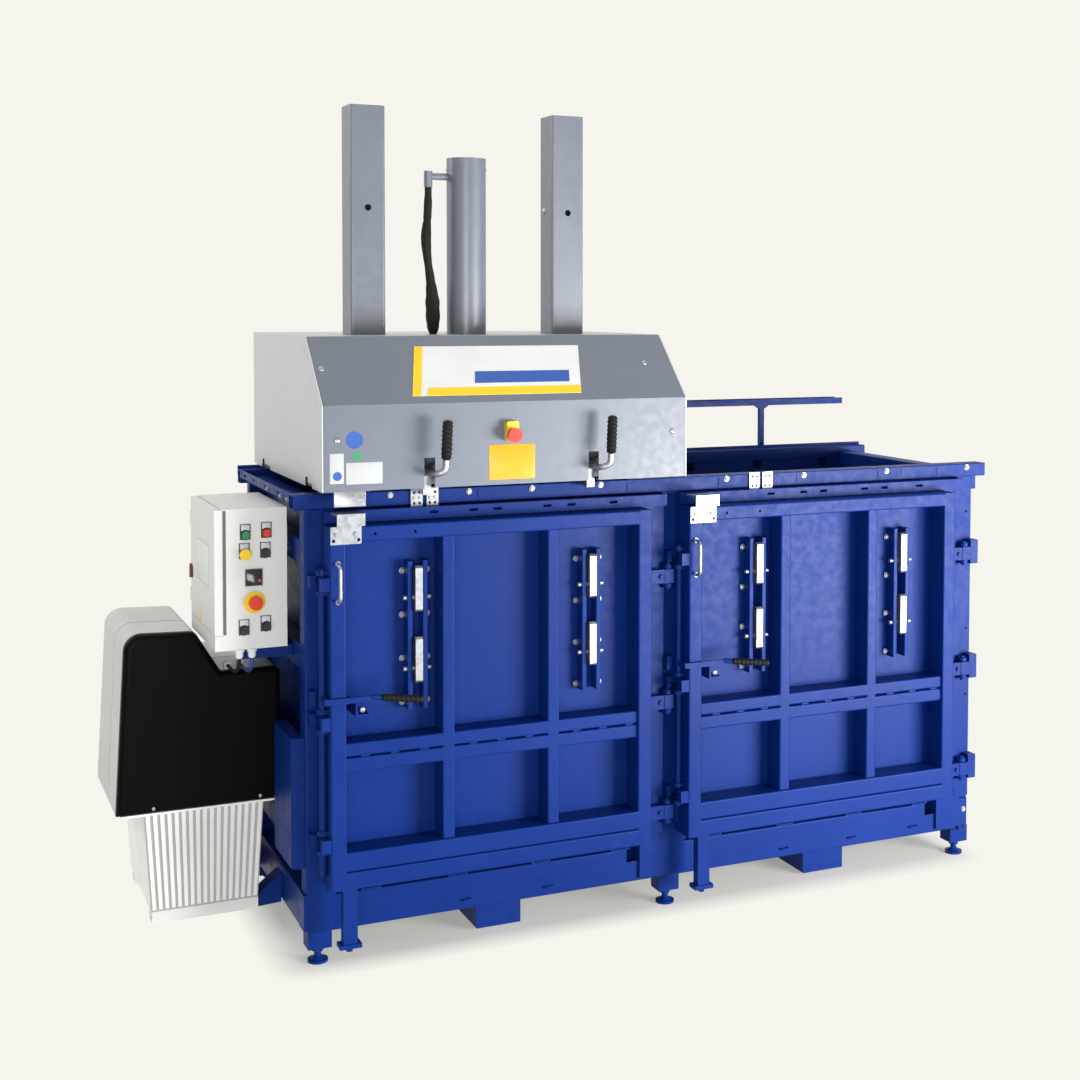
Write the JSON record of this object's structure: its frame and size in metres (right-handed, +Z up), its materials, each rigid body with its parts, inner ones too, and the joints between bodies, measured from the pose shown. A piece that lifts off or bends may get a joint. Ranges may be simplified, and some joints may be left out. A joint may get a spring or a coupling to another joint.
{
  "type": "waste compactor",
  "caption": "Vertical waste baler with side-by-side chambers, hinged doors with claws and a sliding hydraulic press head on top rails.",
  "frame": {"origin": "on the floor under the centre front levelling foot", "axes": "+X to the right along the front, +Y to the rear, +Z up"},
  "size_m": [2.786, 1.0849, 2.472],
  "materials": {
    "base_frame": "gloss ultramarine paint",
    "base_front_beam": "gloss ultramarine paint",
    "black_button_left": "black",
    "black_button_right": "black",
    "cabinet_box": "light grey powder coat",
    "cabinet_door": "light grey powder coat",
    "cabinet_estop": "red",
    "carriage_frame": "grey paint",
    "claw_left_1": "zinc plated",
    "claw_left_2": "zinc plated",
    "claw_left_3": "zinc plated",
    "claw_left_4": "zinc plated",
    "claw_right_1": "zinc plated",
    "claw_right_2": "zinc plated",
    "claw_right_3": "zinc plated",
    "claw_right_4": "zinc plated",
    "control_cables": "black cable",
    "control_faces": "grey bezels",
    "door_brackets_left": "zinc plated",
    "door_brackets_right": "zinc plated",
    "door_fittings_left": "gloss ultramarine paint",
    "door_fittings_right": "gloss ultramarine paint",
    "door_left": "gloss ultramarine paint",
    "door_right": "gloss ultramarine paint",
    "fork_runners": "gloss ultramarine paint",
    "frame_posts": "gloss ultramarine paint",
    "front_rail": "gloss ultramarine paint",
    "green_button": "green",
    "guide_posts": "mid grey paint",
    "head_cover": "mid grey paint",
    "head_estop": "red",
    "head_estop_box": "yellow",
    "head_housing": "light grey paint",
    "head_lever_left": "zinc plated",
    "head_lever_right": "zinc plated",
    "levelling_feet": "gloss ultramarine paint",
    "lever_grip_left": "black",
    "lever_grip_right": "black",
    "lock_grip_left": "black",
    "lock_grip_right": "black",
    "lock_left": "gloss ultramarine paint",
    "lock_right": "gloss ultramarine paint",
    "main_switch": "black",
    "oil_tank": "white ribbed tank",
    "partition_wall": "gloss ultramarine paint",
    "piston_rod": "polished",
    "post_fittings": "gloss ultramarine paint",
    "power_pack_hood": "black moulded hood",
    "power_pack_shell": "silver moulded shell",
    "press_cylinder": "mid grey paint",
    "press_plate": "ultramarine paint",
    "pump_motor": "grey paint",
    "ram_hose": "black hose",
    "rear_rail": "gloss ultramarine paint",
    "rear_wall": "gloss ultramarine paint",
    "red_button": "red",
    "seat_plates": "zinc plated",
    "selector": "black",
    "side_walls": "gloss ultramarine paint",
    "yellow_button": "yellow"
  },
  "bodies": {
    "frame": {"base_frame": "base_frame", "base_front_beam": "base_front_beam", "cabinet_box": "cabinet_box", "control_cables": "control_cables", "control_faces": "control_faces", "fork_runners": "fork_runners", "frame_posts": "frame_posts", "front_rail": "front_rail", "levelling_feet": "levelling_feet", "oil_tank": "oil_tank", "partition_wall": "partition_wall", "post_fittings": "post_fittings", "power_pack_hood": "power_pack_hood", "power_pack_shell": "power_pack_shell", "pump_motor": "pump_motor", "rear_rail": "rear_rail", "rear_wall": "rear_wall", "seat_plates": "seat_plates", "side_walls": "side_walls"},
    "head": {"head_cover": "head_cover", "head_housing": "head_housing", "carriage_frame": "carriage_frame", "press_cylinder": "press_cylinder", "ram_hose": "ram_hose", "head_estop_box": "head_estop_box"},
    "ram": {"guide_posts": "guide_posts", "press_plate": "press_plate", "piston_rod": "piston_rod"},
    "head_lever_left": {"head_lever_left": "head_lever_left", "lever_grip_left": "lever_grip_left"},
    "door_left": {"door_left": "door_left", "door_brackets_left": "door_brackets_left", "door_fittings_left": "door_fittings_left"},
    "lock_left": {"lock_left": "lock_left", "lock_grip_left": "lock_grip_left"},
    "head_lever_right": {"head_lever_right": "head_lever_right", "lever_grip_right": "lever_grip_right"},
    "door_right": {"door_right": "door_right", "door_brackets_right": "door_brackets_right", "door_fittings_right": "door_fittings_right"},
    "lock_right": {"lock_right": "lock_right", "lock_grip_right": "lock_grip_right"},
    "claw_left_1": {"claw_left_1": "claw_left_1"},
    "claw_left_2": {"claw_left_2": "claw_left_2"},
    "claw_left_3": {"claw_left_3": "claw_left_3"},
    "claw_left_4": {"claw_left_4": "claw_left_4"},
    "claw_right_1": {"claw_right_1": "claw_right_1"},
    "claw_right_2": {"claw_right_2": "claw_right_2"},
    "claw_right_3": {"claw_right_3": "claw_right_3"},
    "claw_right_4": {"claw_right_4": "claw_right_4"},
    "cabinet_door": {"cabinet_door": "cabinet_door"},
    "main_switch": {"main_switch": "main_switch"},
    "green_button": {"green_button": "green_button"},
    "red_button": {"red_button": "red_button"},
    "yellow_button": {"yellow_button": "yellow_button"},
    "selector": {"selector": "selector"},
    "cabinet_estop": {"cabinet_estop": "cabinet_estop"},
    "black_button_left": {"black_button_left": "black_button_left"},
    "black_button_right": {"black_button_right": "black_button_right"},
    "head_estop": {"head_estop": "head_estop"}
  },
  "joints": [
    {"name": "head_slide", "type": "slide", "parent": "frame", "child": "head", "axis": [1, 0, 0], "range_m": [0, 1.1]},
    {"name": "ram_slide", "type": "slide", "parent": "head", "child": "ram", "axis": [0, 0, -1], "range_m": [0, 0.65]},
    {"name": "head_lever_left_pivot", "type": "hinge", "parent": "head", "child": "head_lever_left", "pos_m": [-0.804, -0.095, 1.4], "axis": [1, 0, 0], "range_deg": [-12, 0]},
    {"name": "head_lever_right_pivot", "type": "hinge", "parent": "head", "child": "head_lever_right", "pos_m": [-0.3, -0.095, 1.4], "axis": [1, 0, 0], "range_deg": [-12, 0]},
    {"name": "door_left_hinge", "type": "hinge", "parent": "frame", "child": "door_left", "pos_m": [-0.038, -0.092, 0.69], "axis": [0, 0, 1], "range_deg": [0, 79]},
    {"name": "door_right_hinge", "type": "hinge", "parent": "frame", "child": "door_right", "pos_m": [1.062, -0.092, 0.69], "axis": [0, 0, 1], "range_deg": [0, 120]},
    {"name": "lock_left_turn", "type": "hinge", "parent": "door_left", "child": "lock_left", "pos_m": [-1.111, -0.116, 0.784], "axis": [0, 0, 1], "range_deg": [-110, 0]},
    {"name": "lock_right_turn", "type": "hinge", "parent": "door_right", "child": "lock_right", "pos_m": [-0.011, -0.116, 0.784], "axis": [0, 0, 1], "range_deg": [-110, 0]},
    {"name": "claw_left_1_pivot", "type": "hinge", "parent": "door_left", "child": "claw_left_1", "pos_m": [-0.836, -0.104, 1.045], "axis": [1, 0, 0], "range_deg": [0, 20], "stiffness_Nm_per_rad": 2, "springref_deg": -11.46},
    {"name": "claw_left_2_pivot", "type": "hinge", "parent": "door_left", "child": "claw_left_2", "pos_m": [-0.836, -0.104, 0.842], "axis": [1, 0, 0], "range_deg": [0, 20], "stiffness_Nm_per_rad": 2, "springref_deg": -11.46},
    {"name": "claw_left_3_pivot", "type": "hinge", "parent": "door_left", "child": "claw_left_3", "pos_m": [-0.301, -0.104, 1.045], "axis": [1, 0, 0], "range_deg": [0, 20], "stiffness_Nm_per_rad": 2, "springref_deg": -11.46},
    {"name": "claw_left_4_pivot", "type": "hinge", "parent": "door_left", "child": "claw_left_4", "pos_m": [-0.301, -0.104, 0.842], "axis": [1, 0, 0], "range_deg": [0, 20], "stiffness_Nm_per_rad": 2, "springref_deg": -11.46},
    {"name": "claw_right_1_pivot", "type": "hinge", "parent": "door_right", "child": "claw_right_1", "pos_m": [0.264, -0.104, 1.045], "axis": [1, 0, 0], "range_deg": [0, 20], "stiffness_Nm_per_rad": 2, "springref_deg": -11.46},
    {"name": "claw_right_2_pivot", "type": "hinge", "parent": "door_right", "child": "claw_right_2", "pos_m": [0.264, -0.104, 0.842], "axis": [1, 0, 0], "range_deg": [0, 20], "stiffness_Nm_per_rad": 2, "springref_deg": -11.46},
    {"name": "claw_right_3_pivot", "type": "hinge", "parent": "door_right", "child": "claw_right_3", "pos_m": [0.799, -0.104, 1.045], "axis": [1, 0, 0], "range_deg": [0, 20], "stiffness_Nm_per_rad": 2, "springref_deg": -11.46},
    {"name": "claw_right_4_pivot", "type": "hinge", "parent": "door_right", "child": "claw_right_4", "pos_m": [0.799, -0.104, 0.842], "axis": [1, 0, 0], "range_deg": [0, 20], "stiffness_Nm_per_rad": 2, "springref_deg": -11.46},
    {"name": "cabinet_door_hinge", "type": "hinge", "parent": "frame", "child": "cabinet_door", "pos_m": [-1.362, 0.476, 1.119], "axis": [0, 0, 1], "range_deg": [-110, 0]},
    {"name": "main_switch_turn", "type": "hinge", "parent": "cabinet_door", "child": "main_switch", "pos_m": [-1.3685, 0.44, 1.075], "axis": [1, 0, 0], "range_deg": [-90, 0]},
    {"name": "green_button_push", "type": "slide", "parent": "frame", "child": "green_button", "axis": [0, 1, 0], "range_m": [0, 0.004], "stiffness_N_per_m": 200, "springref_m": -0.002},
    {"name": "red_button_push", "type": "slide", "parent": "frame", "child": "red_button", "axis": [0, 1, 0], "range_m": [0, 0.004], "stiffness_N_per_m": 200, "springref_m": -0.002},
    {"name": "yellow_button_push", "type": "slide", "parent": "frame", "child": "yellow_button", "axis": [0, 1, 0], "range_m": [0, 0.004], "stiffness_N_per_m": 200, "springref_m": -0.002},
    {"name": "black_button_left_push", "type": "slide", "parent": "frame", "child": "black_button_left", "axis": [0, 1, 0], "range_m": [0, 0.004], "stiffness_N_per_m": 200, "springref_m": -0.002},
    {"name": "black_button_right_push", "type": "slide", "parent": "frame", "child": "black_button_right", "axis": [0, 1, 0], "range_m": [0, 0.004], "stiffness_N_per_m": 200, "springref_m": -0.002},
    {"name": "selector_turn", "type": "hinge", "parent": "frame", "child": "selector", "pos_m": [-1.224, 0.072, 1.17], "axis": [0, 1, 0], "range_deg": [-45, 45]},
    {"name": "cabinet_estop_push", "type": "slide", "parent": "frame", "child": "cabinet_estop", "axis": [0, 1, 0], "range_m": [0, 0.006]},
    {"name": "head_estop_push", "type": "slide", "parent": "head", "child": "head_estop", "axis": [0, 1, 0], "range_m": [0, 0.006]}
  ]
}
